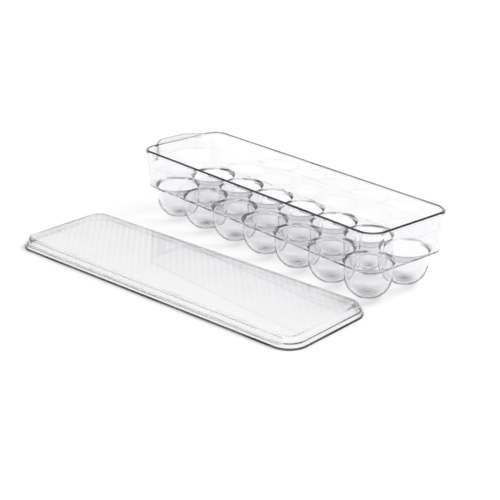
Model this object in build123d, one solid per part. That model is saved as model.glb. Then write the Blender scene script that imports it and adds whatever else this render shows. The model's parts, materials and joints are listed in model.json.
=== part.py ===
from build123d import *
import math
import os

# Refrigerator egg keeper for 14 eggs: a clear moulded tray with a lift-off lid.
# Millimetres, +Z up. The origin is the middle of the foot of the front row's middle cup.
# X runs along the tray, the finger handle is at the -X end and the front is at -Y.
# The tray is one moulding. It is written as walls, handle and egg cups, which meet
# face to face on plain planes. Each piece is drawn about the tray's middle first.

# ---- Driving dimensions: egg cups ----
CUPS_PER_ROW = 7
CUP_ROWS = ("front", "rear")
CUP_MOUTH_RADIUS = 24.5  # crisp edge of the mouth, at the deck's top
CUP_SADDLE = 0.25  # how far each mouth reaches past the line midway to its neighbour
ROW_SPINE = 0.8  # deck left between the two rows
CUP_BOWL_RADIUS = 23.0  # outside of the round bowl
CUP_FOOT_CUT = 0.7  # taken off the bowl's lowest point, which leaves the flat foot
CUP_DRAFT = 2.6  # degrees, the outside leans out from the bowl up to the deck
CUP_WALL = 1.7
CUP_FLOOR = 1.8
MOUTH_FLARE_HEIGHT = 3.6
MOUTH_FLARE_BULGE = 0.5  # how far the flare bows out of a straight cone
CUP_COLLAR_WALL = 0.7  # least wall outside the flare, at the deck's underside
CUP_COLLAR_GAP = 0.6  # least room kept clear round each collar

# ---- Driving dimensions: tray ----
TRAY_HEIGHT = 77.2
DECK_TOP = 37.2
DECK_THICKNESS = 1.8
TRAY_WALL = 1.8
WALL_DRAFT = 3.1  # degrees, each wall leans out
DECK_CORNER_RADIUS = 14.5
DECK_EDGE_RADIUS = 1.0  # outside bottom edge of the walls
CUP_END_LAND = 0.8  # deck left beyond the cups at each end, before the shift
CUP_SIDE_LAND = 0.2  # deck left between the mouths and the long walls
CUP_FIELD_SHIFT = 0.6  # the cups sit this much nearer to the handle
RIM_BEAD = 1.0  # how far the rim's band stands out of the wall
RIM_BAND_HEIGHT = 3.0
RIM_EDGE_RADIUS = 0.7

# ---- Driving dimensions: finger handle ----
HANDLE_REACH = 14.2
HANDLE_BASE_WIDTH = 66.0
HANDLE_FRONT_WIDTH = 34.0
HANDLE_CORNER_RADIUS = 12.0
HANDLE_BLEND_RADIUS = 9.0
HANDLE_APRON_HEIGHT = 17.8
HANDLE_APRON_WALL = 1.8
HANDLE_LIP_THICKNESS = 1.8
HANDLE_ROOT = 0.3  # the handle is parted from the walls this far outside the rim band

# ---- Driving dimensions: lid ----
LID_SIDE_CLEARANCE = 0.8  # lid skirt to rim band, along the long sides
LID_END_CLEARANCE = 1.9  # lid skirt to rim band and handle, at the ends
LID_WALL = 1.9
LID_CORNER_RADIUS = 20.5
LID_SKIRT_HEIGHT = 5.9
LID_SHOULDER = 5.4  # flat step from the skirt's outside in to the raised panel
LID_PANEL_RISE = 5.5
LID_PANEL_CORNER_RADIUS = 13.0
LID_PANEL_THICKNESS = 1.8
LID_PANEL_DRAFT = 2.0  # degrees
LID_EDGE_RADIUS = 0.6
RIB_PITCH = 6.2
RIB_WIDTH = 2.8
RIB_HEIGHT = 0.5
RIB_ANGLE = 135.0  # degrees from the lid's length, so the ribs run across corners
RIB_BITE = 0.3  # each rib starts inside the panel by this much

# ---- Where the lid lies, flat on the table in front of the tray ----
LID_REST_X = -3.4
LID_REST_Y = -129.4
LID_REST_TURN = 7.5

# ---- Worked out from the above ----
DECK_BOTTOM = DECK_TOP - DECK_THICKNESS
BOWL_MIDDLE = CUP_BOWL_RADIUS - CUP_FOOT_CUT
BOWL_SLOPE = math.radians(CUP_DRAFT)
BOWL_TOP_RADIUS = CUP_BOWL_RADIUS * math.cos(BOWL_SLOPE)
BOWL_TOP = BOWL_MIDDLE - CUP_BOWL_RADIUS * math.sin(BOWL_SLOPE)
THROAT_RADIUS = CUP_BOWL_RADIUS - CUP_WALL
FLARE_SHARE = min(1, DECK_THICKNESS / MOUTH_FLARE_HEIGHT)  # of the flare, within the deck
FLARE_RADIUS = CUP_MOUTH_RADIUS - (CUP_MOUTH_RADIUS - THROAT_RADIUS) * FLARE_SHARE
DRAFTED_RADIUS = BOWL_TOP_RADIUS + (DECK_BOTTOM - BOWL_TOP) * math.tan(BOWL_SLOPE)
COLLAR_RADIUS = max(DRAFTED_RADIUS, FLARE_RADIUS + CUP_COLLAR_WALL)
CUP_REACH = max(CUP_MOUTH_RADIUS, COLLAR_RADIUS + CUP_COLLAR_GAP)  # room one cup takes
CUP_PITCH = 2 * (CUP_REACH - CUP_SADDLE)
ROW_OFFSET = CUP_REACH + ROW_SPINE / 2
WALL_HEIGHT = TRAY_HEIGHT - DECK_BOTTOM
WALL_SPREAD = WALL_HEIGHT * math.tan(math.radians(WALL_DRAFT))
INNER_LENGTH = (CUPS_PER_ROW - 1) * CUP_PITCH + 2 * (CUP_REACH + CUP_END_LAND)
INNER_WIDTH = 2 * (ROW_OFFSET + CUP_REACH + CUP_SIDE_LAND)
DECK_LENGTH = INNER_LENGTH + 2 * TRAY_WALL
DECK_WIDTH = INNER_WIDTH + 2 * TRAY_WALL
RIM_LENGTH = DECK_LENGTH + 2 * WALL_SPREAD
RIM_WIDTH = DECK_WIDTH + 2 * WALL_SPREAD
RIM_CORNER_RADIUS = DECK_CORNER_RADIUS + WALL_SPREAD
RIM_END = RIM_LENGTH / 2
HANDLE_END = RIM_END + HANDLE_REACH
CLOSED_LENGTH = RIM_END + HANDLE_END + 2 * RIM_BEAD
CLOSED_WIDTH = RIM_WIDTH + 2 * RIM_BEAD
LID_INNER_LENGTH = CLOSED_LENGTH + 2 * LID_END_CLEARANCE
LID_INNER_WIDTH = CLOSED_WIDTH + 2 * LID_SIDE_CLEARANCE
LID_LENGTH = LID_INNER_LENGTH + 2 * LID_WALL
LID_WIDTH = LID_INNER_WIDTH + 2 * LID_WALL
LID_HEIGHT = LID_SKIRT_HEIGHT + LID_PANEL_RISE
CLEAR = 5.0  # how far cutting bodies run past what they cut


def arc_below(radius, level, high_angle, low_angle):
    """Part of a circle about (0, level), down the right side. Degrees from level, below it negative."""
    return CenterArc((0, level), radius, high_angle, low_angle - high_angle)


def turned(outline):
    """Turns a closed half profile (radius, height) about the upright axis."""
    return revolve(Plane.XZ * make_face(outline), Axis.Z)


def cup_outside():
    """The cup's outer form: a round bowl with a flat foot, and sides that lean out to the deck."""
    foot_angle = -math.degrees(math.asin(BOWL_MIDDLE / CUP_BOWL_RADIUS))
    bowl = arc_below(CUP_BOWL_RADIUS, BOWL_MIDDLE, -CUP_DRAFT, foot_angle)
    foot = bowl @ 1
    rest = Polyline(
        (BOWL_TOP_RADIUS, BOWL_TOP),
        (COLLAR_RADIUS, DECK_BOTTOM),
        (COLLAR_RADIUS, DECK_TOP),
        (0, DECK_TOP),
        (0, 0),
        (foot.X, 0),
    )
    return turned(bowl + rest)


def cup_inside():
    """The space an egg sits in: the bowl, a straight throat and a flared mouth."""
    bowl_level = CUP_FLOOR + THROAT_RADIUS
    throat_top = DECK_TOP - MOUTH_FLARE_HEIGHT
    bowl = arc_below(THROAT_RADIUS, bowl_level, 0, -90)
    throat = Line((THROAT_RADIUS, bowl_level), (THROAT_RADIUS, throat_top))
    middle_radius = (THROAT_RADIUS + CUP_MOUTH_RADIUS) / 2 - MOUTH_FLARE_BULGE
    middle = (middle_radius, (throat_top + DECK_TOP) / 2)
    flare = ThreePointArc((THROAT_RADIUS, throat_top), middle, (CUP_MOUTH_RADIUS, DECK_TOP))
    rest = Polyline((CUP_MOUTH_RADIUS, DECK_TOP), (0, DECK_TOP), (0, CUP_FLOOR))
    return turned(bowl + throat + flare + rest)


def leaning_block(length, width, corner_radius, height, base_level):
    """A rounded block whose sides lean out by the walls' draft, standing on base_level."""
    plan = Pos(0, 0, base_level) * RectangleRounded(length, width, corner_radius)
    return extrude(plan, height, taper=-WALL_DRAFT)


def tray_hollow():
    """Everything inside the walls, from the deck's underside to past the rim."""
    corner_radius = DECK_CORNER_RADIUS - TRAY_WALL
    return leaning_block(INNER_LENGTH, INNER_WIDTH, corner_radius, WALL_HEIGHT, DECK_BOTTOM)


def handle_plan():
    """The handle seen from above, with a root that reaches back into the tray."""
    root_x = -(RIM_END - RIM_CORNER_RADIUS)
    outline = Polyline(
        (root_x, -HANDLE_BASE_WIDTH / 2),
        (-RIM_END, -HANDLE_BASE_WIDTH / 2),
        (-HANDLE_END, -HANDLE_FRONT_WIDTH / 2),
        (-HANDLE_END, HANDLE_FRONT_WIDTH / 2),
        (-RIM_END, HANDLE_BASE_WIDTH / 2),
        (root_x, HANDLE_BASE_WIDTH / 2),
        close=True,
    )
    return make_face(outline)


def rim_plan():
    """The rim's outline, with the handle growing out of one end in smooth curves."""
    handle = handle_plan()
    tips = [corner for corner in handle.vertices() if corner.X < -HANDLE_END + 0.1]
    handle = fillet(tips, HANDLE_CORNER_RADIUS)
    plan = RectangleRounded(RIM_LENGTH, RIM_WIDTH, RIM_CORNER_RADIUS) + handle
    return offset(offset(plan, HANDLE_BLEND_RADIUS), -HANDLE_BLEND_RADIUS)


def slab(plan, low, high):
    """A flat plan made solid between two levels."""
    return extrude(Pos(0, 0, low) * plan, high - low)


def level_edges(solid, level):
    """The edges of a solid that lie at one level."""
    return solid.edges().filter_by_position(Axis.Z, level - 0.01, level + 0.01)


def handle_solid(plan):
    """The lip and its apron, still solid, with a root that ends inside the wall."""
    apron_bottom = TRAY_HEIGHT - HANDLE_APRON_HEIGHT
    zone_length = HANDLE_REACH + WALL_SPREAD + CLEAR
    zone_width = HANDLE_BASE_WIDTH + HANDLE_BLEND_RADIUS / 2
    zone_middle = -HANDLE_END - CLEAR + zone_length / 2
    zone = slab(Pos(zone_middle, 0) * Rectangle(zone_length, zone_width), 0, TRAY_HEIGHT)
    return slab(plan, apron_bottom, TRAY_HEIGHT) & zone


def finger_pocket(plan):
    """The space behind the apron, open below, where the fingers go."""
    pocket_plan = offset(plan, -HANDLE_APRON_WALL)
    low = TRAY_HEIGHT - HANDLE_APRON_HEIGHT - CLEAR
    return slab(pocket_plan, low, TRAY_HEIGHT - HANDLE_LIP_THICKNESS)


def tray_shell():
    """Walls, rim band and finger handle in one, open above and below."""
    plan = rim_plan()
    outside = leaning_block(DECK_LENGTH, DECK_WIDTH, DECK_CORNER_RADIUS, WALL_HEIGHT, DECK_BOTTOM)
    pocket = finger_pocket(plan) - outside
    outside = fillet(level_edges(outside, DECK_BOTTOM), DECK_EDGE_RADIUS)
    band = slab(offset(plan, RIM_BEAD), TRAY_HEIGHT - RIM_BAND_HEIGHT, TRAY_HEIGHT)
    band = fillet(level_edges(band, TRAY_HEIGHT), RIM_EDGE_RADIUS)
    return outside + band + handle_solid(plan) - pocket - tray_hollow()


def split_at_end_wall(shell):
    """Parts the shell at the end wall into the walls and the handle."""
    depth = HANDLE_REACH + CLEAR
    split_x = -(RIM_END + RIM_BEAD + HANDLE_ROOT)
    beyond = Pos(split_x - depth / 2, 0, TRAY_HEIGHT / 2) * Box(depth, RIM_WIDTH, 2 * TRAY_HEIGHT)
    return shell - beyond, shell & beyond


def cup_place(column, side):
    """Where a cup's axis stands. side is -1 for the front row, +1 for the rear."""
    middle_x = (column - (CUPS_PER_ROW - 1) / 2) * CUP_PITCH - CUP_FIELD_SHIFT
    return Pos(middle_x, side * ROW_OFFSET, 0)


def egg_cup(column, side):
    """One cup with its share of the deck."""
    place = cup_place(column, side)
    middle_x = place.position.X
    low_x = middle_x - CUP_PITCH / 2
    high_x = middle_x + CUP_PITCH / 2
    if column == 0:
        low_x = -INNER_LENGTH
    if column == CUPS_PER_ROW - 1:
        high_x = INNER_LENGTH
    share = Pos((low_x + high_x) / 2, side * INNER_WIDTH / 2, (DECK_BOTTOM + DECK_TOP) / 2) * Box(
        high_x - low_x, INNER_WIDTH, DECK_THICKNESS
    )
    return (tray_hollow() & share) + place * cup_outside() - place * cup_inside()


def panel_block(inset, height):
    """The lid's raised middle, or the hollow inside it, from the shoulder up."""
    step = LID_SHOULDER + inset
    plan = RectangleRounded(
        LID_LENGTH - 2 * step, LID_WIDTH - 2 * step, LID_PANEL_CORNER_RADIUS - inset
    )
    return extrude(Pos(0, 0, LID_SKIRT_HEIGHT) * plan, height, taper=LID_PANEL_DRAFT)


def panel_ribs(hollow):
    """Fine ribs across the underside of the panel, cut to the hollow's outline."""
    length = LID_LENGTH + LID_WIDTH
    turn = math.radians(RIB_ANGLE)
    half_count = int(length / 2 * abs(math.sin(turn)) / RIB_PITCH)
    middle_z = LID_HEIGHT - LID_PANEL_THICKNESS + (RIB_BITE - RIB_HEIGHT) / 2
    rib = Box(length, RIB_WIDTH, RIB_HEIGHT + RIB_BITE)
    ribs = []
    for number in range(-half_count, half_count + 1):
        side_step = number * RIB_PITCH
        place = Location((0, 0, middle_z), (0, 0, RIB_ANGLE)) * Pos(0, side_step, 0)
        ribs += (place * rib & hollow).solids()
    return ribs


def lid():
    """The lid about its own middle, standing on the edge of its skirt."""
    skirt = slab(RectangleRounded(LID_LENGTH, LID_WIDTH, LID_CORNER_RADIUS), 0, LID_SKIRT_HEIGHT)
    skirt = fillet(level_edges(skirt, LID_SKIRT_HEIGHT), LID_EDGE_RADIUS)
    panel = panel_block(0, LID_PANEL_RISE)
    panel = fillet(level_edges(panel, LID_HEIGHT), LID_EDGE_RADIUS)
    inner_radius = LID_CORNER_RADIUS - LID_WALL
    skirt_hollow = slab(
        RectangleRounded(LID_INNER_LENGTH, LID_INNER_WIDTH, inner_radius),
        0,
        LID_SKIRT_HEIGHT - LID_WALL,
    )
    panel_hollow = panel_block(LID_WALL, LID_PANEL_RISE - LID_PANEL_THICKNESS)
    throat_plan = panel_hollow.faces().sort_by(Axis.Z)[0]
    throat = extrude(throat_plan, LID_WALL)
    shell = skirt + panel - skirt_hollow - panel_hollow - throat
    rib_zone = panel_block(LID_WALL, LID_PANEL_RISE)
    return shell + panel_ribs(rib_zone)


def main():
    os.makedirs("parts", exist_ok=True)
    home = cup_place(CUPS_PER_ROW // 2, -1).inverse()
    walls, handle = split_at_end_wall(tray_shell())
    export_step(home * walls, "parts/tray_walls.step")
    export_step(home * handle, "parts/finger_handle.step")
    for side, row in zip((-1, 1), CUP_ROWS):
        for column in range(CUPS_PER_ROW):
            cup = home * egg_cup(column, side)
            export_step(cup, f"parts/egg_cup_{row}_{column + 1}.step")
    lid_place = Location((LID_REST_X, LID_REST_Y, 0), (0, 0, LID_REST_TURN))
    export_step(home * lid_place * lid(), "parts/lid.step")


main()
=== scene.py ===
import json
import logging
import math
from dataclasses import dataclass, field
from enum import Enum

import bpy
from mathutils import Matrix, Vector


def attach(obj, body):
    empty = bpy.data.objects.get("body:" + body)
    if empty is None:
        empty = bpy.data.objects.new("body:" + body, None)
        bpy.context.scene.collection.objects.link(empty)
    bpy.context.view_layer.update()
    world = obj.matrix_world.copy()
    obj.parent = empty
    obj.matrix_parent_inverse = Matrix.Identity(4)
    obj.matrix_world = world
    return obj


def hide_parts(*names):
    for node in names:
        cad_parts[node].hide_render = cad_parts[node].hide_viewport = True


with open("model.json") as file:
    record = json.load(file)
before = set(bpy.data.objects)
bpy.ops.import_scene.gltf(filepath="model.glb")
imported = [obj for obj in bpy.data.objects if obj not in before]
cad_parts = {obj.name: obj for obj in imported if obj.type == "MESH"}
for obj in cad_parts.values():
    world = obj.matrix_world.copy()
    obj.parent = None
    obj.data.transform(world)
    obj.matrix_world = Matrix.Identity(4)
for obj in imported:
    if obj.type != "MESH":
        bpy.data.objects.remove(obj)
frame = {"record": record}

MM = 0.001
TRAY_MIDDLE = Vector((0.6 * MM, 24.9 * MM, 0.0))  # from the front row's middle foot
ARC_STEP = math.radians(3.0)  # how finely the plan outlines are drawn
CREASE = 26.0  # degrees past which an edge is shaded crisp
FLAT_FACE_WEIGHT = 60  # how much large faces rule the normals
CUT_PAST = 5.0 * MM  # how far a cutting solid runs past what it cuts
BAND_GAP = 0.02 * MM  # how far a band of finish stays off a flat face beside it
DECK_GAP = 0.05 * MM  # the same, at the deck's underside
UNDER_TABLE = -1.0 * MM  # where a band that begins at the table starts

log = logging.getLogger("egg_keeper")


# -------- outlines and solids


def on_tray(x: float, y: float, z: float) -> tuple[float, float, float]:
    """A place given from the tray's middle, in the shared frame."""
    return tuple(TRAY_MIDDLE + Vector((x, y, z)))


@dataclass(frozen=True)
class Arc:
    """One arc of a plan outline. Angles are in radians, and end may be below start."""

    centre: tuple[float, float]
    radius: float
    start: float
    end: float
    hollow: bool = False

    def points(self, offset: float) -> list[tuple[float, float]]:
        """Points along the arc once the outline has moved outwards.

        Args:
            offset: how far the outline moves out, in metres.

        Returns:
            The points in order, both ends included.
        """
        radius = self.radius - offset if self.hollow else self.radius + offset
        steps = max(2, math.ceil(abs(self.end - self.start) / ARC_STEP))
        turns = [self.start + (self.end - self.start) * i / steps for i in range(steps + 1)]
        return [
            (self.centre[0] + radius * math.cos(a), self.centre[1] + radius * math.sin(a))
            for a in turns
        ]


@dataclass(frozen=True)
class Outline:
    """A closed plan, anticlockwise from above: arcs that straight lines join."""

    arcs: tuple[Arc, ...]

    def ring(self, offset: float, level: float) -> list[Vector]:
        """The outline as a ring of points.

        Args:
            offset: how far outside the plain outline the ring lies.
            level: its height above the table.

        Returns:
            One point after another, the same number for every offset.
        """
        flat = [p for arc in self.arcs for p in arc.points(offset)]
        return [Vector((x, y, level)) for x, y in flat]


def rounded_rectangle(length: float, width: float, radius: float) -> Outline:
    """A rectangle about the origin with round corners.

    Args:
        length: size along X.
        width: size along Y.
        radius: corner radius.

    Returns:
        The outline.
    """
    x, y, quarter = length / 2 - radius, width / 2 - radius, math.pi / 2
    corners = ((x, -y), (x, y), (-x, y), (-x, -y))
    return Outline(
        tuple(Arc(c, radius, (i - 1) * quarter, i * quarter) for i, c in enumerate(corners))
    )


def new_mesh_object(
    name: str, points: list[Vector], faces: list[tuple[int, ...]]
) -> bpy.types.Object:
    """Puts a mesh into the scene.

    Args:
        name: name of the object and of its mesh.
        points: the corners.
        faces: corner numbers of each face, anticlockwise from outside.

    Returns:
        The new object, at the origin.
    """
    mesh = bpy.data.meshes.new(name)
    mesh.from_pydata([tuple(p) for p in points], [], faces)
    mesh.validate()
    made = bpy.data.objects.new(name, mesh)
    bpy.context.scene.collection.objects.link(made)
    return made


def lofted(name: str, rings: list[list[Vector]]) -> bpy.types.Object:
    """Joins equal rings into one closed solid, with a flat face at each end.

    Args:
        name: name of the object.
        rings: rings of points, from the first flat face to the last.

    Returns:
        The solid as an object.
    """
    count = len(rings[0])
    points = [p for ring in rings for p in ring]
    faces: list[tuple[int, ...]] = [tuple(reversed(range(count)))]
    for level in range(len(rings) - 1):
        low, high = level * count, (level + 1) * count
        for i in range(count):
            j = (i + 1) % count
            faces.append((low + i, low + j, high + j, high + i))
    faces.append(tuple(range((len(rings) - 1) * count, len(rings) * count)))
    return new_mesh_object(name, points, faces)


def turned(name: str, profile: list[tuple[float, float]], steps: int) -> bpy.types.Object:
    """Turns a profile about the upright axis into a closed solid.

    Args:
        name: name of the object.
        profile: (radius, height) points from the lower pole to the upper, poles left out.
        steps: faces round the axis.

    Returns:
        The solid as an object.
    """
    rings = [
        [
            Vector((r * math.cos(math.tau * i / steps), r * math.sin(math.tau * i / steps), z))
            for i in range(steps)
        ]
        for r, z in profile
    ]
    return lofted(name, rings)


def edge_rounding(radius: float, steps: int) -> list[tuple[float, float]]:
    """A quarter round as (drawn in, dropped) pairs, from the side up to the top face.

    Args:
        radius: radius of the round.
        steps: faces across it.

    Returns:
        Pairs of how far in and how far below the top each point lies.
    """
    turns = [math.pi / 2 * i / steps for i in range(steps + 1)]
    return [(radius * (1 - math.cos(a)), radius * (1 - math.sin(a))) for a in turns]


def modified(piece: bpy.types.Object) -> bpy.types.Mesh:
    """The mesh that a piece's modifiers make, as a new one."""
    graph = bpy.context.evaluated_depsgraph_get()
    return bpy.data.meshes.new_from_object(piece.evaluated_get(graph), depsgraph=graph)


def scrap(*objects: bpy.types.Object) -> None:
    """Removes working objects and their meshes."""
    for o in objects:
        mesh = o.data
        bpy.data.objects.remove(o)
        bpy.data.meshes.remove(mesh)


# -------- geometry node trees


class Join(Enum):
    """What a Boolean step does with its solids."""

    ADD = "UNION"
    CUT = "DIFFERENCE"
    SHARED = "INTERSECT"


class NodeTree:
    """Writes the nodes of one tree."""

    prefix = ""

    def __init__(self, tree: bpy.types.NodeTree) -> None:
        """Takes the tree to write into."""
        self.tree = tree

    def feed(self, socket: bpy.types.NodeSocket, value: object) -> None:
        """Links a socket where another is given, and else sets its value."""
        if isinstance(value, bpy.types.NodeSocket):
            self.tree.links.new(value, socket)
        else:
            socket.default_value = value

    def node(self, kind: str, settings: dict | None = None, **inputs: object) -> bpy.types.Node:
        """Adds a node.

        Args:
            kind: the part of the node's type after the tree's prefix.
            settings: properties of the node.
            inputs: sockets to link or values to set, by socket name with _ for spaces.

        Returns:
            The node.
        """
        made = self.tree.nodes.new(self.prefix + kind)
        for key, value in (settings or {}).items():
            setattr(made, key, value)
        for key, value in inputs.items():
            name = key.replace("_", " ")
            self.feed(next(s for s in made.inputs if s.enabled and s.name == name), value)
        return made

    def math(self, operation: str, first: object, second: object) -> bpy.types.NodeSocket:
        """A sum of two numbers, as a socket."""
        made = self.tree.nodes.new("ShaderNodeMath")
        made.operation = operation
        for socket, value in zip(made.inputs, (first, second)):
            self.feed(socket, value)
        return made.outputs[0]


class ShapeTree(NodeTree):
    """Writes one Geometry Nodes tree and runs it on a working mesh."""

    def __init__(self, name: str) -> None:
        """Starts an empty tree with a geometry input.

        Args:
            name: name of the tree.
        """
        super().__init__(bpy.data.node_groups.new(name, "GeometryNodeTree"))
        self.values: dict[str, object] = {}
        side = self.tree.interface
        side.new_socket("Geometry", in_out="INPUT", socket_type="NodeSocketGeometry")
        side.new_socket("Geometry", in_out="OUTPUT", socket_type="NodeSocketGeometry")
        self.start = self.tree.nodes.new("NodeGroupInput")
        self.end = self.tree.nodes.new("NodeGroupOutput")

    def given(self, name: str, kind: str, value: object) -> bpy.types.NodeSocket:
        """Adds a named input to the tree.

        Args:
            name: what the input is called.
            kind: its socket type, such as Float or Object.
            value: what the modifier sets it to.

        Returns:
            The socket that carries it inside the tree.
        """
        made = self.tree.interface.new_socket(
            name, in_out="INPUT", socket_type="NodeSocket" + kind
        )
        self.values[made.identifier] = value
        return next(s for s in self.start.outputs if s.identifier == made.identifier)

    def vector(self, **parts: object) -> bpy.types.NodeSocket:
        """A vector from its X, Y and Z, as a socket."""
        return self.node("ShaderNodeCombineXYZ", **parts).outputs[0]

    def solid(self, name: str, piece: bpy.types.Object) -> bpy.types.NodeSocket:
        """Brings a working object's mesh into the tree, as a named input."""
        info = self.node("GeometryNodeObjectInfo", Object=self.given(name, "Object", piece))
        return info.outputs["Geometry"]

    def boolean(
        self, how: Join, base: bpy.types.NodeSocket, *others: bpy.types.NodeSocket
    ) -> bpy.types.NodeSocket:
        """Adds a Boolean step.

        Args:
            how: what the step does.
            base: the solid that is cut or added to.
            others: the solids it is done with.

        Returns:
            The resulting solid.
        """
        made = self.node("GeometryNodeMeshBoolean", {"operation": how.value, "solver": "MANIFOLD"})
        if how is Join.CUT:
            self.tree.links.new(base, made.inputs["Mesh 1"])
        else:
            others = (base, *others)
        for other in others:
            self.tree.links.new(other, made.inputs["Mesh 2"])
        return made.outputs["Mesh"]

    def run(
        self,
        name: str,
        base: bpy.types.Object,
        shape: bpy.types.NodeSocket,
        finish: bpy.types.Material,
    ) -> bpy.types.Object:
        """Ends the tree, runs it and keeps its result as a plain mesh.

        Args:
            name: name of the finished piece.
            base: the working object that the tree starts from.
            shape: the socket that carries the finished shape.
            finish: the material set on all of it.

        Returns:
            The finished piece, at the origin, with no modifier.
        """
        realised = self.node("GeometryNodeRealizeInstances", Geometry=shape)
        dressed = self.node(
            "GeometryNodeSetMaterial", Geometry=realised.outputs[0], Material=finish
        )
        self.tree.links.new(dressed.outputs[0], self.end.inputs[0])
        modifier = base.modifiers.new(name, "NODES")
        modifier.node_group = self.tree
        for identifier, value in self.values.items():
            modifier[identifier] = value
        mesh = modified(base)
        base.modifiers.remove(modifier)
        mesh.name = name
        made = bpy.data.objects.new(name, mesh)
        bpy.context.scene.collection.objects.link(made)
        return made


def smoothed(piece: bpy.types.Object) -> bpy.types.Object:
    """Shades a piece smooth, with crisp edges where its faces turn sharply.

    Args:
        piece: the mesh object.

    Returns:
        The same piece, with normals that follow its larger faces.
    """
    piece.data.shade_smooth()
    piece.data.set_sharp_from_angle(angle=math.radians(CREASE))
    modifier = piece.modifiers.new("flat faces stay flat", "WEIGHTED_NORMAL")
    modifier.keep_sharp = True
    modifier.weight = FLAT_FACE_WEIGHT
    mesh = modified(piece)
    piece.modifiers.remove(modifier)
    old, piece.data = piece.data, mesh
    bpy.data.meshes.remove(old)
    mesh.name = piece.name
    return piece


# -------- finishes


class ShaderTree(NodeTree):
    """Writes a material's or the room's nodes."""

    prefix = "ShaderNode"

    def __init__(self, owner: bpy.types.Material | bpy.types.World) -> None:
        """Empties the node tree of a new material or world."""
        self.owner = owner
        owner.use_nodes = True
        super().__init__(owner.node_tree)
        self.tree.nodes.clear()

    def vector_math(
        self, operation: str, first: bpy.types.NodeSocket, second: tuple | None = None
    ) -> bpy.types.NodeSocket:
        """A sum of a vector with a fixed one, as a socket."""
        made = self.node("VectorMath", {"operation": operation}, Vector=first)
        if second is not None:
            made.inputs[1].default_value = second
        return made.outputs["Value" if operation in ("LENGTH", "DOT_PRODUCT") else "Vector"]

    def ramp(
        self,
        value: bpy.types.NodeSocket,
        ends: tuple[float, float] = (0.0, 1.0),
        gives: tuple[float, float] = (0.0, 1.0),
        kind: str = "LINEAR",
    ) -> bpy.types.NodeSocket:
        """A number carried from its ends to what they give, as a socket."""
        made = self.node("MapRange", {"interpolation_type": kind}, Value=value)
        for name, pair in (("From", ends), ("To", gives)):
            for end, number in zip((" Min", " Max"), pair):
                made.inputs[name + end].default_value = number
        return made.outputs[0]

    def less(self, amount: bpy.types.NodeSocket) -> bpy.types.NodeSocket:
        """What an amount leaves of one."""
        return self.math("SUBTRACT", 1.0, amount)

    def mixed(
        self,
        share: bpy.types.NodeSocket,
        first: bpy.types.NodeSocket,
        second: bpy.types.NodeSocket,
    ) -> bpy.types.NodeSocket:
        """Mixes two shaders, the second by that share."""
        made = self.node("MixShader")
        for socket, value in zip(made.inputs, (share, first, second)):
            self.feed(socket, value)
        return made.outputs[0]

    def done(
        self, surface: bpy.types.NodeSocket, depth: bpy.types.NodeSocket | None = None
    ) -> bpy.types.Material:
        """Ends the material with its surface and, for clear plastic, what its depth does."""
        end = self.node("OutputMaterial", Surface=surface)
        if depth is not None:
            self.feed(end.inputs["Volume"], depth)
        return self.owner


@dataclass(frozen=True)
class PaintedRibShade:
    """The fine shade that ribs under a panel give it, painted into the plastic's colour as stripes,
    with painted shade deeper towards the rear.
    """

    pitch: float
    turn: float
    low: float
    middle: tuple[float, float, float]
    # painted shade: how much darker a rib and the rear are painted
    depth: float = 0.14
    rear_painted_shade: float = 0.07
    rear_way: tuple[float, float, float] = (0.6, 0.8, 0.0)
    front_end: float = -70.0 * MM
    rear_end: float = 70.0 * MM

    def shade(self, s: ShaderTree, place: bpy.types.NodeSocket) -> bpy.types.NodeSocket:
        """How much of the light each place keeps, as shade painted into the colour.

        Args:
            s: the material's tree.
            place: the point, in Object coordinates.

        Returns:
            1 between ribs and below them, less on a rib.
        """
        local = s.node(
            "Mapping",
            {"vector_type": "TEXTURE"},
            Vector=place,
            Location=self.middle,
            Rotation=(0.0, 0.0, self.turn),
        )
        parts = s.node("SeparateXYZ", Vector=local.outputs[0])
        phase = s.math("MULTIPLY", parts.outputs["X"], math.tau / self.pitch)
        swell = s.math("ADD", s.math("MULTIPLY", s.math("COSINE", phase, 0.0), 0.5), 0.5)
        above = s.math("GREATER_THAN", parts.outputs["Z"], self.low)
        back = s.vector_math("DOT_PRODUCT", local.outputs[0], self.rear_way)
        rear = s.ramp(back, (self.front_end, self.rear_end))
        # painted shade: the rib stripes and the darkening towards the rear
        painted_rib_shade = s.math("ADD", s.math("MULTIPLY", swell, self.depth), self.rear_painted_shade)
        painted_rib_shade = s.math("MULTIPLY", painted_rib_shade, rear)
        return s.less(s.math("MULTIPLY", painted_rib_shade, above))


@dataclass(frozen=True)
class HeightBand:
    """A band of heights where the plastic differs, in uneven patches, all over or near a middle. It
    serves for painted shade in the colour, for clearer plastic and for a darker cast shadow.
    """

    low: float
    high: float
    most: float
    least: float
    fade: float = 0.01 * MM
    patch_length: float = 45.0 * MM
    blend: float = 0.1
    middle: tuple[float, float, float] = (0.0, 0.0, 0.0)
    reach: tuple[float, float, float] = (1.0, 1.0, 1.0)

    def amount(self, s: ShaderTree, place: bpy.types.NodeSocket) -> bpy.types.NodeSocket:
        """How strongly each place is in the band.

        Args:
            s: the material's tree.
            place: the point, in Object coordinates.

        Returns:
            0 outside the band, between its least and its most inside it.
        """
        height = s.node("SeparateXYZ", Vector=place).outputs["Z"]
        above = s.math("GREATER_THAN", height, self.low)
        below = s.ramp(height, (self.high, self.high - self.fade), kind="SMOOTHSTEP")
        patches = s.node("TexNoise", Vector=place, Scale=1.0 / self.patch_length, Detail=1.0)
        halves = (0.5 - self.blend, 0.5 + self.blend)
        uneven = s.ramp(patches.outputs[0], halves, (self.least, self.most))
        aside = s.vector_math("SUBTRACT", place, self.middle)
        away = s.vector_math("LENGTH", s.vector_math("DIVIDE", aside, self.reach))
        near = s.math("LESS_THAN", away, 1.0)
        inside = s.math("MULTIPLY", s.math("MULTIPLY", above, below), near)
        return s.math("MULTIPLY", inside, uneven)


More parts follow.
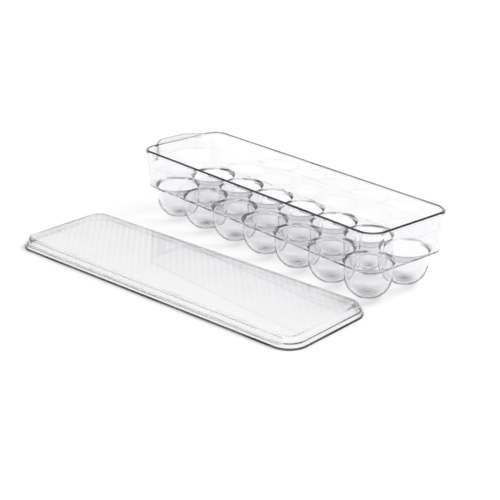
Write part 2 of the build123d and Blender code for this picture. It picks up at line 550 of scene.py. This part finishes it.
@dataclass(frozen=True)
class ClearPlastic:
    """Water-clear moulded plastic: glossy, with the faint flow marks of a moulding, and with shade
    painted into its colour at ribs and in dark bands.
    """

    name: str
    tint: tuple[float, float, float, float] = (0.985, 0.985, 0.992, 1.0)
    ior: float = 1.57
    least_roughness: float = 0.012
    most_roughness: float = 0.035
    flow_length: float = 60.0 * MM
    flow_depth: float = 0.012 * MM
    flow_roughness: float = 0.45
    haze_per_flow: float = 9.0
    haze_from: float = 0.35
    haze_to: float = 0.7
    # painted shade: rib stripes and dark bands, multiplied into the base colour
    ribs: PaintedRibShade | None = None
    painted_shade_bands: tuple[HeightBand, ...] = ()
    clear_bands: tuple[HeightBand, ...] = ()
    shade_bands: tuple[HeightBand, ...] = ()
    lamp_share_straight: float = 0.99
    lamp_share_edgewise: float = 0.2
    edgewise_from: float = 0.6
    depth_tint: tuple[float, float, float, float] = (0.85, 0.85, 0.88, 1.0)
    depth_density: float = 75.0

    def material(self) -> bpy.types.Material:
        """Builds the material.

        Returns:
            The material, which lets lamps through so that its shade stays light.
        """
        s = ShaderTree(bpy.data.materials.new(self.name))
        place = s.node("TexCoord").outputs["Object"]
        flow = s.node(
            "TexNoise",
            Vector=place,
            Scale=1.0 / self.flow_length,
            Detail=2.0,
            Roughness=self.flow_roughness,
        )
        fine = self.haze_per_flow / self.flow_length
        haze = s.node("TexNoise", Vector=place, Scale=fine, Detail=3.0)
        hazes = (self.haze_from, self.haze_to)
        roughness = s.ramp(haze.outputs[0], hazes, (self.least_roughness, self.most_roughness))
        bump = s.node("Bump", Strength=1.0, Distance=self.flow_depth, Height=flow.outputs[0])
        # painted shade: what the rib stripes and the dark bands leave of the colour
        painted_shade_factor: object = 1.0 if self.ribs is None else self.ribs.shade(s, place)
        for band in self.painted_shade_bands:
            painted_shade_factor = s.math("MULTIPLY", painted_shade_factor, s.less(band.amount(s, place)))
        # the plastic's own tint times the painted shade gives the base colour
        tint = s.node("Mix", {"data_type": "RGBA", "blend_type": "MULTIPLY"}, Factor=1.0)
        tint.inputs[6].default_value = self.tint
        s.tree.links.new(painted_shade_factor, tint.inputs[7])
        plastic = s.node(
            "BsdfPrincipled",
            Base_Color=tint.outputs[2],
            Roughness=roughness,
            IOR=self.ior,
            Transmission_Weight=1.0,
            Normal=bump.outputs[0],
        )
        facing = s.node("LayerWeight", Blend=0.5).outputs["Facing"]
        shares = (self.lamp_share_straight, self.lamp_share_edgewise)
        passed = s.ramp(facing, (self.edgewise_from, 1.0), shares)
        for band in self.shade_bands:
            passed = s.math("MULTIPLY", passed, s.less(band.amount(s, place)))
        lamps = s.node("BsdfTransparent", Color=passed)
        path = s.node("LightPath")
        past = s.math("MAXIMUM", path.outputs["Is Shadow Ray"], path.outputs["Is Diffuse Ray"])
        for band in self.clear_bands:
            past = s.math("MAXIMUM", past, band.amount(s, place))
        depth = s.node("VolumeAbsorption", Color=self.depth_tint, Density=self.depth_density)
        surface = s.mixed(past, plastic.outputs[0], lamps.outputs[0])
        return s.done(surface, depth.outputs[0])


@dataclass(frozen=True)
class PaleFloor:
    """A plain white table top that still takes the object's shade."""

    name: str = "table_white"
    colour: tuple[float, float, float, float] = (0.9, 0.9, 0.9, 1.0)
    near_glow: float = 0.22
    far_glow: float = 1.0
    near: float = 0.3
    far: float = 1.3
    grain_scale: float = 40.0
    least_roughness: float = 0.75
    most_roughness: float = 0.85

    def material(self) -> bpy.types.Material:
        """Builds the material.

        Returns:
            The material, which adds a little white where it is seen, mirrored or not.
        """
        s = ShaderTree(bpy.data.materials.new(self.name))
        place = s.node("TexCoord").outputs["Object"]
        grain = s.node("TexNoise", Vector=place, Scale=self.grain_scale, Detail=2.0)
        span = (self.least_roughness, self.most_roughness)
        top = s.node(
            "BsdfPrincipled",
            Base_Color=self.colour,
            Roughness=s.ramp(grain.outputs[0], gives=span),
            Specular_IOR_Level=0.0,
        )
        path = s.node("LightPath")
        seen = s.math("MAXIMUM", path.outputs["Is Camera Ray"], path.outputs["Is Transmission Ray"])
        seen = s.math("MAXIMUM", seen, path.outputs["Is Glossy Ray"])
        away, glows = s.vector_math("LENGTH", place), (self.near_glow, self.far_glow)
        glow = s.ramp(away, (self.near, self.far), glows, "SMOOTHSTEP")
        glow = s.node("Emission", Strength=s.math("MULTIPLY", seen, glow))
        both = s.node("AddShader")
        for socket, part in zip(both.inputs, (top, glow)):
            s.feed(socket, part.outputs[0])
        return s.done(both.outputs[0])


# -------- tray


@dataclass
class TrayWalls:
    """The leaning walls, the rim band round their top and the finger handle at one end."""

    deck_length: float = 345.2 * MM
    deck_width: float = 102.8 * MM
    deck_top: float = 37.2 * MM
    deck_bottom: float = 35.4 * MM
    height: float = 77.2 * MM
    wall: float = 1.8 * MM
    draft: float = math.radians(3.1)
    corner_radius: float = 14.5 * MM
    lower_edge_radius: float = 1.0 * MM
    bead: float = 1.0 * MM
    band_height: float = 3.0 * MM
    rim_edge_radius: float = 1.0 * MM
    rim_inner_radius: float = 0.6 * MM
    handle_reach: float = 14.2 * MM
    handle_base_width: float = 66.0 * MM
    handle_front_width: float = 34.0 * MM
    handle_corner_radius: float = 12.0 * MM
    handle_blend_radius: float = 9.0 * MM
    apron_height: float = 17.8 * MM
    apron_wall: float = 1.8 * MM
    lip_thickness: float = 1.8 * MM
    apron_below_rim: float = 1.0 * MM
    steps_rounding: int = 4

    @property
    def spread(self) -> float:
        """How far a wall leans out from its foot to the rim."""
        return self.lean(self.height)

    @property
    def rim_end(self) -> float:
        """Half the length of the walls at the rim."""
        return self.deck_length / 2 + self.spread

    @property
    def rim_side(self) -> float:
        """Half the width of the walls at the rim."""
        return self.deck_width / 2 + self.spread

    def lean(self, level: float) -> float:
        """How far out the walls are at a level, from where they start."""
        return (level - self.deck_bottom) * math.tan(self.draft)

    def deck_outline(self) -> Outline:
        """The walls' outline where they meet the deck's underside."""
        return rounded_rectangle(self.deck_length, self.deck_width, self.corner_radius)

    def handle_arcs(self) -> list[Arc]:
        """The smooth outline of the handle's rear half, from the rim's corner to its tip.

        Returns:
            The rim's corner, the hollow blend out of the end wall and the rounded tip.
        """
        corner = self.corner_radius + self.spread
        base, front = self.handle_base_width / 2, self.handle_front_width / 2
        slant = math.atan2(self.handle_reach, base - front)
        blend, tip = self.handle_blend_radius, self.handle_corner_radius
        end = -self.rim_end
        return [
            Arc((end + corner, self.rim_side - corner), corner, math.pi / 2, math.pi),
            Arc((end - blend, base + blend * math.tan(slant / 2)), blend, 0.0, -slant, True),
            Arc(
                (end - self.handle_reach + tip, front - tip * math.tan(slant / 2)),
                tip,
                math.pi - slant,
                math.pi,
            ),
        ]

    def mirrored(self, arcs: list[Arc]) -> list[Arc]:
        """The same arcs on the front side, in reverse order."""
        return [
            Arc((a.centre[0], -a.centre[1]), a.radius, -a.end, -a.start, a.hollow)
            for a in reversed(arcs)
        ]

    def rim_outline(self) -> Outline:
        """The whole rim with the handle growing out of one end."""
        radius = self.corner_radius + self.spread
        x, y = self.rim_end - radius, self.rim_side - radius
        right = [
            Arc((x, -y), radius, -math.pi / 2, 0),
            Arc((x, y), radius, 0, math.pi / 2),
        ]
        rear = self.handle_arcs()
        return Outline(tuple(right + rear + self.mirrored(rear)))

    def handle_ring(self, offset: float, level: float) -> list[Vector]:
        """A ring of the handle, squared off inside the end wall.

        Args:
            offset: how far outside the plain outline it lies.
            level: its height.

        Returns:
            The ring's points.
        """
        rear = self.handle_arcs()[1:]
        ring = Outline(tuple(rear + self.mirrored(rear))).ring(offset, level)
        inside = -self.deck_length / 2
        squared = [Vector((inside, ring[end].y, level)) for end in (-1, 0)]
        return squared + ring

    def outside(self) -> bpy.types.Object:
        """The walls' outer form as a solid block, with its lower edge rounded."""
        plan = self.deck_outline()
        rings = []
        rounding = edge_rounding(self.lower_edge_radius, self.steps_rounding)
        for drawn_in, dropped in reversed(rounding):
            level = self.deck_bottom + dropped
            rings.append(plan.ring(self.lean(level) - drawn_in, level))
        rings.append(plan.ring(self.spread, self.height))
        return lofted("walls_outside", rings)

    def hollow(self) -> bpy.types.Object:
        """The space inside the walls, from the deck's top to past the rim."""
        plan = self.deck_outline()
        rings = [plan.ring(self.lean(self.deck_top) - self.wall, self.deck_top)]
        for drawn_in, dropped in edge_rounding(self.rim_inner_radius, self.steps_rounding):
            level = self.height - dropped
            rings.append(plan.ring(self.lean(level) - self.wall + drawn_in, level))
        past = self.height + CUT_PAST
        rings.append(plan.ring(self.spread - self.wall + self.rim_inner_radius, past))
        return lofted("walls_hollow", rings)

    def band(self) -> bpy.types.Object:
        """The band round the rim, with its upper outer edge rounded."""
        plan = self.rim_outline()
        rings = [plan.ring(self.bead, self.height - self.band_height)]
        for drawn_in, dropped in edge_rounding(self.rim_edge_radius, self.steps_rounding):
            rings.append(plan.ring(self.bead - drawn_in, self.height - dropped))
        return lofted("rim_band", rings)

    def apron(self) -> bpy.types.Object:
        """The finger handle as a solid block."""
        levels = (self.height - self.apron_height, self.height - self.apron_below_rim)
        return lofted("apron", [self.handle_ring(0, level) for level in levels])

    def pocket(self) -> bpy.types.Object:
        """The space behind the apron, where the fingers go."""
        low = self.height - self.apron_height - CUT_PAST
        levels = (low, self.height - self.lip_thickness)
        return lofted("pocket", [self.handle_ring(-self.apron_wall, z) for z in levels])


@dataclass
class EggCups:
    """Two rows of round egg cups that hang from the deck and stand on the table."""

    columns: int = 7
    rows: int = 2
    pitch: float = 48.5 * MM
    row_spacing: float = 49.8 * MM
    shift: float = -0.6 * MM
    bowl_radius: float = 23.0 * MM
    foot_cut: float = 0.7 * MM
    draft: float = math.radians(2.6)
    wall: float = 1.7 * MM
    floor: float = 1.8 * MM
    mouth_radius: float = 24.5 * MM
    mouth_flare_height: float = 3.6 * MM
    mouth_flare_bulge: float = 0.5 * MM
    deck_top: float = 37.2 * MM
    deck_bottom: float = 35.4 * MM
    cut_past: float = 4.0 * MM
    pole_radius: float = 0.3 * MM
    steps_round: int = 96
    steps_up: int = 18
    steps_flare: int = 8

    @property
    def throat_radius(self) -> float:
        """Inner radius of the bowl and of the straight throat above it."""
        return self.bowl_radius - self.wall

    def bowl(
        self, radius: float, middle: float, low: float, high: float
    ) -> list[tuple[float, float]]:
        """Part of a round bowl's profile.

        Args:
            radius: the bowl's radius.
            middle: level of its centre.
            low: angle of the lowest point, in radians below the centre.
            high: angle of the highest point.

        Returns:
            (radius, height) points from the bottom up, without a point on the axis.
        """
        turns = [-low + (low - high) * i / self.steps_up for i in range(self.steps_up + 1)]
        curve = [(radius * math.cos(a), middle + radius * math.sin(a)) for a in turns]
        return [(max(r, self.pole_radius), z) for r, z in curve]

    def outside(self) -> bpy.types.Object:
        """One cup's outer form, up into the deck."""
        middle = self.bowl_radius - self.foot_cut
        profile = self.bowl(
            self.bowl_radius, middle, math.asin(middle / self.bowl_radius), self.draft
        )
        radius, level = profile[-1]
        top = (self.deck_bottom + self.deck_top) / 2
        profile.append((radius + (top - level) * math.tan(self.draft), top))
        return turned("cup_outside", profile, self.steps_round)

    def inside(self) -> bpy.types.Object:
        """The space in one cup: bowl, throat and flared mouth."""
        radius = self.throat_radius
        profile = self.bowl(radius, self.floor + radius, math.pi / 2, 0.0)
        profile += self.flare(radius, self.deck_top - self.mouth_flare_height)
        profile.append((self.mouth_radius, self.deck_top + self.cut_past))
        return turned("cup_inside", profile, self.steps_round)

    def flare(self, radius: float, low: float) -> list[tuple[float, float]]:
        """The mouth's flare, a shallow bow from the throat to the crisp edge.

        Args:
            radius: throat radius.
            low: level of the throat's top.

        Returns:
            (radius, height) points.
        """
        made = []
        for i in range(self.steps_flare + 1):
            t = i / self.steps_flare
            bow = self.mouth_flare_bulge * 4 * t * (1 - t)
            r = radius + (self.mouth_radius - radius) * t - bow
            made.append((r, low + (self.deck_top - low) * t))
        return made

    def spread_out(self, tree: ShapeTree, one: bpy.types.NodeSocket) -> bpy.types.NodeSocket:
        """Repeats one shape at every cup's place.

        Args:
            tree: the tree that the nodes go into.
            one: the shape to repeat.

        Returns:
            The shapes as instances.
        """
        columns = tree.given("Columns", "Int", self.columns)
        rows = tree.given("Rows", "Int", self.rows)
        pitch = tree.given("Cup Pitch", "Float", self.pitch)
        spacing = tree.given("Row Spacing", "Float", self.row_spacing)
        shift = tree.given("Field Shift", "Float", self.shift)
        grid = tree.node(
            "GeometryNodeMeshGrid",
            Vertices_X=columns,
            Vertices_Y=rows,
            Size_X=tree.math("MULTIPLY", pitch, tree.math("SUBTRACT", columns, 1.0)),
            Size_Y=tree.math("MULTIPLY", spacing, tree.math("SUBTRACT", rows, 1.0)),
        )
        moved = tree.node(
            "GeometryNodeSetPosition", Geometry=grid.outputs[0], Offset=tree.vector(X=shift)
        )
        placed = tree.node("GeometryNodeInstanceOnPoints", Points=moved.outputs[0], Instance=one)
        return placed.outputs[0]


@dataclass
class Tray:
    """The tray: one clear moulding of walls, handle and cups."""

    walls: TrayWalls = field(default_factory=TrayWalls)
    cups: EggCups = field(default_factory=EggCups)

    def finish(self) -> ClearPlastic:
        """The tray's plastic, darker with painted shade and clearer in bands along its rim, deck,
        cups and handle.
        """
        walls, cups = self.walls, self.cups
        top, deck, foot = walls.height, walls.deck_bottom, walls.height - walls.apron_height
        # painted shade: a dark line along the rim's top edge, in uneven patches
        rim = HeightBand(low=top - 1.2 * MM, high=top - BAND_GAP, most=0.98, least=0.8)
        edge = {
            "low": deck + DECK_GAP,
            "high": deck + 1.7 * MM,
            "patch_length": 14.0 * MM,
            "blend": 0.04,
        }
        # painted shade: dark dashes along the deck's edge
        deck_edge_painted_dashes = HeightBand(most=0.98, least=0.0, **edge)
        gaps = HeightBand(most=0.0, least=0.8, **edge)
        # painted shade: the cups darker towards the bottom
        bowls_painted_shade = HeightBand(low=UNDER_TABLE, high=8.0 * MM, most=0.25, least=0.12, fade=8.0 * MM)
        # painted shadow: a dark crescent where each cup stands on the table
        feet_painted_shadow = HeightBand(low=UNDER_TABLE, high=2.6 * MM, most=0.5, least=0.35, fade=2.4 * MM)
        # painted shade: a dark line along the handle's lower edge
        lip_painted_line = HeightBand(low=foot - DECK_GAP, high=foot + BAND_GAP, most=0.9, least=0.6)
        root = HeightBand(
            low=foot - 1.0 * MM,
            high=top - walls.band_height - 0.1 * MM,
            most=0.8,
            least=0.7,
            middle=on_tray(
                -walls.rim_end, -walls.handle_base_width / 2, top - walls.apron_height / 2
            ),
            reach=(8.0 * MM,) * 3,
        )
        end_rim = HeightBand(
            low=top - walls.band_height,
            high=top - BAND_GAP,
            most=0.75,
            least=0.6,
            middle=on_tray(0.4 * MM - walls.rim_end, 0.0, top),
            reach=(6.0 * MM, 36.0 * MM, 8.0 * MM),
        )
        mouths = [
            HeightBand(
                low=low, high=high - DECK_GAP, most=0.75, least=0.0, patch_length=18.0 * MM
            )
            for low, high in (
                (cups.deck_top - cups.mouth_flare_height, deck),
                (deck + DECK_GAP, cups.deck_top),
            )
        ]
        underside = HeightBand(low=deck - BAND_GAP, high=deck + BAND_GAP, most=0.65, least=0.65)
        return ClearPlastic(
            "clear_tray_plastic_look",
            painted_shade_bands=(rim, deck_edge_painted_dashes, bowls_painted_shade, feet_painted_shadow, lip_painted_line),
            clear_bands=(*mouths, underside, gaps, root, end_rim),
        )

    def build(self, finish: bpy.types.Material) -> bpy.types.Object:
        """Makes the whole moulding as one closed skin.

        Args:
            finish: its material.

        Returns:
            The finished piece.
        """
        tools = {
            "Walls": self.walls.outside(),
            "Rim Band": self.walls.band(),
            "Apron": self.walls.apron(),
            "Pocket": self.walls.pocket(),
            "Hollow": self.walls.hollow(),
            "Cup": self.cups.outside(),
            "Egg Space": self.cups.inside(),
        }
        tree = ShapeTree("tray_moulding")
        parts = {name: tree.solid(name, piece) for name, piece in tools.items()}
        block = tree.boolean(Join.ADD, parts["Walls"], parts["Rim Band"], parts["Apron"])
        pocket = tree.boolean(Join.CUT, parts["Pocket"], parts["Walls"])
        shell = tree.boolean(Join.CUT, block, pocket, parts["Hollow"])
        cups = self.cups.spread_out(tree, parts["Cup"])
        spaces = self.cups.spread_out(tree, parts["Egg Space"])
        shape = tree.boolean(Join.CUT, tree.boolean(Join.ADD, shell, cups), spaces)
        base = new_mesh_object("tray_base", [], [])
        made = tree.run("tray_shell", base, shape, finish)
        scrap(base, *tools.values())
        made.data.transform(Matrix.Translation(TRAY_MIDDLE))
        return smoothed(made)


# -------- lid


@dataclass
class Lid:
    """The lift-off lid: a skirt, a flat shoulder and a raised panel, ribbed underneath."""

    length: float = 373.5 * MM
    width: float = 114.7 * MM
    wall: float = 1.9 * MM
    corner_radius: float = 20.5 * MM
    skirt_height: float = 5.9 * MM
    inner_wall: float = 2.0 * MM
    foot_bead: float = 0.9 * MM
    foot_height: float = 1.9 * MM
    foot_radius: float = 0.3 * MM
    # how high the painted shade along the foot reaches
    foot_painted_shade_height: float = 1.6 * MM
    shoulder: float = 5.4 * MM
    shoulder_thickness: float = 1.3 * MM
    shoulder_radius: float = 2.0 * MM
    shoulder_inner_radius: float = 0.8 * MM
    panel_rise: float = 5.5 * MM
    panel_corner_radius: float = 13.0 * MM
    panel_thickness: float = 1.8 * MM
    panel_draft: float = math.radians(2.0)
    panel_radius: float = 2.4 * MM
    panel_inner_radius: float = 0.9 * MM
    rib_pitch: float = 6.2 * MM
    rib_width: float = 6.0 * MM
    rib_height: float = 0.08 * MM
    rib_margin: float = 4.0 * MM
    rib_bite: float = 0.3 * MM
    rib_room_below_top: float = 1.0 * MM
    band_end_gap: float = 6.0 * MM
    steps_inner: int = 5
    steps_outer: int = 6
    steps_panel: int = 8
    steps_rib: int = 8
    rib_turn: float = math.radians(45)
    rest_x: float = -3.4 * MM
    rest_y: float = -129.4 * MM
    rest_turn: float = math.radians(7.5)

    @property
    def height(self) -> float:
        """Full height."""
        return self.skirt_height + self.panel_rise

    @property
    def middle(self) -> Vector:
        """Where the lid's own middle lies on the table."""
        return TRAY_MIDDLE + Vector((self.rest_x, self.rest_y, 0))

    def finish(self) -> ClearPlastic:
        """The lid's plastic, with painted shade at its ribs and its foot, and clear at its upper
        edges.
        """
        # painted shade: the ribs' stripes and the darker rear, painted into the lid's colour
        ribs = PaintedRibShade(
            self.rib_pitch,
            self.rib_turn + self.rest_turn,
            self.height - self.panel_thickness - self.rib_height,
            tuple(self.middle),
        )
        # painted shade: a dark line along the foot, where the lid stands on the table
        foot = HeightBand(low=UNDER_TABLE, high=self.foot_painted_shade_height, most=0.98, least=0.8)
        under_shoulder = self.skirt_height - self.shoulder_thickness
        skirt = HeightBand(low=UNDER_TABLE, high=under_shoulder - 0.1 * MM, most=0.4, least=0.3)
        ends = {
            "middle": tuple(self.middle),
            "reach": (self.length / 2 - self.band_end_gap,) * 3,
        }
        bend = HeightBand(
            low=self.height - self.panel_radius - 0.5 * MM,
            high=self.height - BAND_GAP,
            most=0.9,
            least=0.7,
            **ends,
        )
        shoulder = HeightBand(
            low=self.skirt_height - self.shoulder_radius - 0.1 * MM,
            high=self.skirt_height - BAND_GAP,
            most=0.6,
            least=0.4,
            **ends,
        )
        return ClearPlastic(
            "clear_lid_plastic_look",
            ribs=ribs,
            painted_shade_bands=(foot,),
            clear_bands=(bend, shoulder),
            shade_bands=(skirt,),
        )

    def panel_outline(self) -> Outline:
        """The raised panel's outline at its foot."""
        return rounded_rectangle(
            self.length - 2 * self.shoulder,
            self.width - 2 * self.shoulder,
            self.panel_corner_radius,
        )

    def shell(self) -> bpy.types.Object:
        """The lid without its ribs, as one closed skin."""
        skirt = rounded_rectangle(self.length, self.width, self.corner_radius)
        panel = self.panel_outline()
        slope = math.tan(self.panel_draft)
        under_panel = self.height - self.panel_thickness
        under_shoulder = self.skirt_height - self.shoulder_thickness
        inner, outer = self.steps_inner, self.steps_outer
        rings = []
        for drawn_in, dropped in reversed(edge_rounding(self.panel_inner_radius, inner)):
            level = under_panel - dropped
            lean = (level - under_shoulder) * slope
            rings.append(panel.ring(-self.wall - lean - drawn_in, level))
        rings.append(panel.ring(-self.wall, under_shoulder))
        for drawn_in, dropped in reversed(edge_rounding(self.shoulder_inner_radius, inner)):
            rings.append(skirt.ring(-self.inner_wall - drawn_in, under_shoulder - dropped))
        rings.append(skirt.ring(-self.inner_wall, 0.0))
        for drawn_in, dropped in reversed(edge_rounding(self.foot_radius, inner)):
            rings.append(skirt.ring(-drawn_in, dropped))
        for drawn_in, dropped in edge_rounding(self.foot_bead, outer):
            rings.append(skirt.ring(-drawn_in, self.foot_height - dropped))
        for drawn_in, dropped in edge_rounding(self.shoulder_radius, outer):
            rings.append(skirt.ring(-self.foot_bead - drawn_in, self.skirt_height - dropped))
        rings.append(panel.ring(0.0, self.skirt_height))
        for drawn_in, dropped in edge_rounding(self.panel_radius, self.steps_panel):
            level = self.height - dropped
            rings.append(panel.ring(-drawn_in - (level - self.skirt_height) * slope, level))
        return lofted("lid_skin", rings)

    def rib(self) -> bpy.types.Object:
        """One long rib with a rounded underside, flat where it meets the panel."""
        reach = (self.length + self.width) / 2
        half, under = self.rib_width / 2, self.height - self.panel_thickness
        section = []
        for i in range(self.steps_rib + 1):
            t = 2 * i / self.steps_rib - 1
            swell = self.rib_height * (1 + math.cos(math.pi * t)) / 2
            section.append((t * half, under - swell))
        section += [(half, under + self.rib_bite), (-half, under + self.rib_bite)]
        ends = [[Vector((x, y, z)) for x, z in section] for y in (reach, -reach)]
        return lofted("rib", ends)

    def rib_zone(self) -> bpy.types.Object:
        """The room under the panel that the ribs are trimmed to."""
        panel = self.panel_outline()
        inset = -self.wall - self.rib_margin
        levels = (self.skirt_height, self.height - self.rib_room_below_top)
        return lofted("rib_zone", [panel.ring(inset, z) for z in levels])

    def build(self, finish: bpy.types.Material) -> bpy.types.Object:
        """Makes the lid where it lies.

        Args:
            finish: its material.

        Returns:
            The finished piece.
        """
        base, rib, zone = self.shell(), self.rib(), self.rib_zone()
        tree = ShapeTree("lid_ribs")
        one, room = tree.solid("Rib", rib), tree.solid("Rib Zone", zone)
        pitch = tree.given("Rib Pitch", "Float", self.rib_pitch)
        turn = tree.given("Rib Turn", "Float", self.rib_turn)
        across = (self.length + self.width) * abs(math.sin(self.rib_turn)) / 2
        count = tree.given("Ribs Each Side", "Int", int(across / self.rib_pitch))
        every = tree.math("ADD", tree.math("MULTIPLY", count, 2.0), 1.0)
        first = tree.math("MULTIPLY", tree.math("MULTIPLY", count, -1.0), pitch)
        line = tree.node(
            "GeometryNodeMeshLine",
            Count=every,
            Start_Location=tree.vector(X=first),
            Offset=tree.vector(X=pitch),
        )
        ribs = tree.node("GeometryNodeInstanceOnPoints", Points=line.outputs[0], Instance=one)
        real = tree.node("GeometryNodeRealizeInstances", Geometry=ribs.outputs[0])
        turned_ribs = tree.node(
            "GeometryNodeTransform", Geometry=real.outputs[0], Rotation=tree.vector(Z=turn)
        )
        trimmed = tree.boolean(Join.SHARED, turned_ribs.outputs[0], room)
        whole = tree.boolean(Join.ADD, tree.start.outputs[0], trimmed)
        made = tree.run("lid_shell", base, whole, finish)
        scrap(base, rib, zone)
        place = Matrix.Translation(self.middle) @ Matrix.Rotation(self.rest_turn, 4, "Z")
        made.data.transform(place)
        return smoothed(made)


# -------- studio


@dataclass(frozen=True)
class Lamp:
    """A soft square lamp that points at one spot."""

    name: str
    place: tuple[float, float, float]
    aim: tuple[float, float, float]
    size: float
    power: float

    def build(self) -> bpy.types.Object:
        """Puts the lamp into the scene, unseen in the plastic and through it."""
        data = bpy.data.lights.new(self.name, "AREA")
        data.shape = "SQUARE"
        data.size = self.size
        data.energy = self.power
        made = bpy.data.objects.new(self.name, data)
        made.location = self.place
        aim = Vector(self.aim) - Vector(self.place)
        made.rotation_euler = aim.to_track_quat("-Z", "Y").to_euler()
        made.visible_glossy = False
        made.visible_transmission = False
        bpy.context.scene.collection.objects.link(made)
        return made


@dataclass
class Studio:
    """Camera, white table, soft lamps and a pale room."""

    camera_place: tuple[float, float, float] = (0.8565, -0.7796, 0.4609)
    camera_aim: tuple[float, float, float] = (0.04015, -0.0808, 0.0297)
    lens: float = 86.27
    sensor_width: float = 36.0
    clip_start: float = 0.05
    white_to: float = 0.45
    dark_from: float = 0.56
    overhead: float = 0.2
    white_side: tuple[float, float, float] = (-0.76, 0.65, 0.0)
    card_edge: float = 0.84
    card_start: float = 0.74
    cards_low: float = 0.02
    cards_from: float = 0.10
    floor_size: float = 12.0
    floor_gap: float = 0.1 * MM
    lamps: tuple[Lamp, ...] = (
        Lamp("lamp_back_right", (1.6, 2.2, 3.0), (0.0, -0.05, 0.0), 2.4, 146.0),
        Lamp("lamp_front_left", (-2.4, -2.0, 3.0), (0.0, -0.05, 0.0), 3.2, 43.5),
    )

    def camera(self) -> None:
        """Sets up the camera."""
        data = bpy.data.cameras.new("camera")
        data.lens = self.lens
        data.sensor_width = self.sensor_width
        data.clip_start = self.clip_start
        made = bpy.data.objects.new("camera", data)
        made.location = Vector(self.camera_place) + TRAY_MIDDLE
        aim = Vector(self.camera_aim) - Vector(self.camera_place)
        made.rotation_euler = aim.to_track_quat("-Z", "Y").to_euler()
        bpy.context.scene.collection.objects.link(made)
        bpy.context.scene.camera = made

    def table(self) -> bpy.types.Object:
        """Lays the white table under the object."""
        half = self.floor_size / 2
        signs = ((-1, -1), (1, -1), (1, 1), (-1, 1))
        corners = [Vector((x * half, y * half, -self.floor_gap)) for x, y in signs]
        made = new_mesh_object("table", corners, [(0, 1, 2, 3)])
        made.data.materials.append(PaleFloor().material())
        return made

    def room(self) -> None:
        """A white background, and a room dark overhead and on one side, which plastic mirrors."""
        world = bpy.data.worlds.new("room")
        bpy.context.scene.world = world
        s = ShaderTree(world)
        towards = s.node("TexCoord").outputs["Generated"]
        height = s.node("SeparateXYZ", Vector=towards).outputs["Z"]
        level = s.vector_math("NORMALIZE", s.vector_math("MULTIPLY", towards, (1.0, 1.0, 0.0)))
        ahead = s.vector_math("DOT_PRODUCT", level, self.white_side)
        above = s.ramp(height, (self.white_to, self.dark_from))
        beside = s.ramp(ahead, (self.card_edge, self.card_start))
        low = s.ramp(height, (self.cards_low, self.cards_from))
        dark = s.math("MAXIMUM", s.math("MULTIPLY", beside, low), above)
        seen = s.ramp(dark, gives=(1.0, self.overhead))
        camera = s.node("LightPath").outputs["Is Camera Ray"]
        glow = s.node("Background", Strength=s.math("MAXIMUM", seen, camera))
        s.node("OutputWorld", Surface=glow.outputs[0])

    def build(self) -> None:
        """Sets up everything around the object."""
        self.camera()
        self.table()
        self.room()
        for lamp in self.lamps:
            lamp.build()
        bpy.context.scene.view_settings.view_transform = "Standard"


def main() -> None:
    """Builds the egg keeper and its studio."""
    logging.basicConfig(level=logging.INFO, format="%(name)s: %(message)s")
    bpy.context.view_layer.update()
    Studio().build()
    tray_maker = Tray()
    tray = tray_maker.build(tray_maker.finish().material())
    tray_nodes = [name for name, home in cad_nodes() if home == "tray"]
    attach(tray, "tray")
    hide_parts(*tray_nodes)
    log.info("tray_shell: %d faces", len(tray.data.polygons))
    lid_maker = Lid()
    lid = lid_maker.build(lid_maker.finish().material())
    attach(lid, "lid")
    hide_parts("lid")
    log.info("lid_shell: %d faces", len(lid.data.polygons))


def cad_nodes() -> list[tuple[str, str]]:
    """Every CAD node with the body it belongs to."""
    bodies = frame["record"]["behaviour"]["bodies"]
    return [(node, body) for body, nodes in bodies.items() for node in nodes]


if __name__ == "__main__":
    main()
